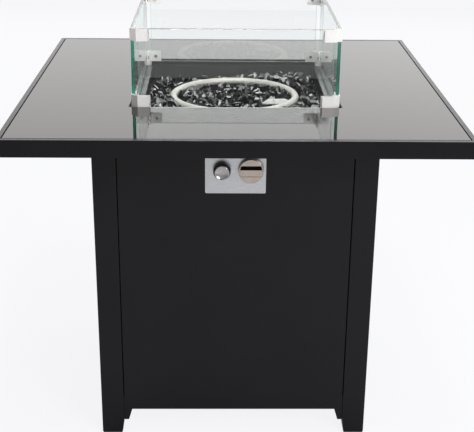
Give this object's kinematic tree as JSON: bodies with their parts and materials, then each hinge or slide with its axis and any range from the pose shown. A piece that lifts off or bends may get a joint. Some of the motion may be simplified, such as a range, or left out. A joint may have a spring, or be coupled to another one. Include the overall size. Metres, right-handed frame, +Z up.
{
  "type": "fire pit table",
  "caption": "Square counter-height gas fire pit table with a dark glass top, a closed tank cabinet, a recessed ring burner in rocks and a lift-off glass wind guard.",
  "frame": {"origin": "on the floor, under the middle of the square table", "axes": "+Z up, +Y from the control side to the rear door, +X to the right as seen from the controls"},
  "size_m": [1.067, 1.067, 1.0595],
  "materials": {
    "charcoal_powder_coat": "fine satin texture",
    "dark_table_glass": "polished, bevelled edges",
    "clear_guard_glass": "polished, green edges",
    "satin_stainless": "satin",
    "control_plate_steel": "fine brushed",
    "burner_stainless": "matt, heat toned",
    "chrome": "mirror",
    "black_plastic": "satin",
    "seal_foam": "matt",
    "black_enamel": "satin",
    "lava_rock": "broken, glassy",
    "brass": "turned",
    "zinc_steel": "zinc plated",
    "white_ceramic": "glazed",
    "lead_insulation": "matt"
  },
  "bodies": {
    "table": {"top_rail_front": "charcoal_powder_coat", "top_rail_right": "charcoal_powder_coat", "top_rail_back": "charcoal_powder_coat", "top_rail_left": "charcoal_powder_coat", "top_beams_long": "charcoal_powder_coat", "top_beams_short": "charcoal_powder_coat", "burner_ledge": "charcoal_powder_coat", "leg_back_right": "charcoal_powder_coat", "leg_back_left": "charcoal_powder_coat", "leg_front_left": "charcoal_powder_coat", "leg_front_right": "charcoal_powder_coat", "front_panel": "charcoal_powder_coat", "right_panel": "charcoal_powder_coat", "left_panel": "charcoal_powder_coat", "rear_strips": "charcoal_powder_coat", "upper_rails": "charcoal_powder_coat", "lower_rails": "charcoal_powder_coat", "corner_gussets": "charcoal_powder_coat", "tank_shelf": "charcoal_powder_coat", "hinge_leaves_leg": "charcoal_powder_coat", "top_glass": "dark_table_glass", "control_plate": "control_plate_steel", "burner_ring": "burner_stainless", "burner_riser": "burner_stainless", "burner_posts": "burner_stainless", "electrode_bracket": "burner_stainless", "igniter_bezel": "black_plastic", "igniter_barrel": "black_plastic", "igniter_nut": "black_plastic", "foot_glides": "black_plastic", "magnet_catch": "black_plastic", "glass_seal": "seal_foam", "burner_pan": "black_enamel", "lava_rock_bed": "lava_rock", "lava_rocks": "lava_rock", "gas_valve": "brass", "gas_inlet_fitting": "brass", "air_mixer": "brass", "riser_lock_nut": "brass", "valve_bracket": "zinc_steel", "burner_feed_pipe": "zinc_steel", "top_bolts": "zinc_steel", "hinge_pins": "zinc_steel", "spark_electrode": "white_ceramic", "spark_lead": "lead_insulation"},
    "rear_door": {"rear_door": "charcoal_powder_coat", "door_pull": "black_plastic", "hinge_leaves_door": "charcoal_powder_coat", "catch_strike": "zinc_steel"},
    "valve_plunger": {"stem_spring_seat": "zinc_steel"},
    "gas_knob": {"gas_knob": "chrome", "valve_stem": "zinc_steel"},
    "igniter_button": {"igniter_button": "chrome"},
    "wind_guard": {"guard_pane_front": "clear_guard_glass", "guard_pane_right": "clear_guard_glass", "guard_pane_back": "clear_guard_glass", "guard_pane_left": "clear_guard_glass", "guard_clips_lower": "satin_stainless", "guard_clips_upper": "satin_stainless", "guard_screws": "satin_stainless"}
  },
  "joints": [
    {"name": "knob_push", "type": "slide", "parent": "table", "child": "valve_plunger", "axis": [0, 1, 0], "range_m": [0, 0.004], "stiffness_N_per_m": 900, "springref_m": -0.004},
    {"name": "knob_turn", "type": "hinge", "parent": "valve_plunger", "child": "gas_knob", "pos_m": [0.037, -0.36, 0.738], "axis": [0, -1, 0], "range_deg": [0, 210]},
    {"name": "igniter_press", "type": "slide", "parent": "table", "child": "igniter_button", "axis": [0, 1, 0], "range_m": [0, 0.005], "stiffness_N_per_m": 700, "springref_m": -0.004},
    {"name": "door_swing", "type": "hinge", "parent": "table", "child": "rear_door", "pos_m": [0.287, 0.35, 0.449], "axis": [0, 0, -1], "range_deg": [0, 110]},
    {"name": "guard_lift", "type": "slide", "parent": "table", "child": "wind_guard", "axis": [0, 0, 1], "range_m": [0, 0.25]}
  ]
}
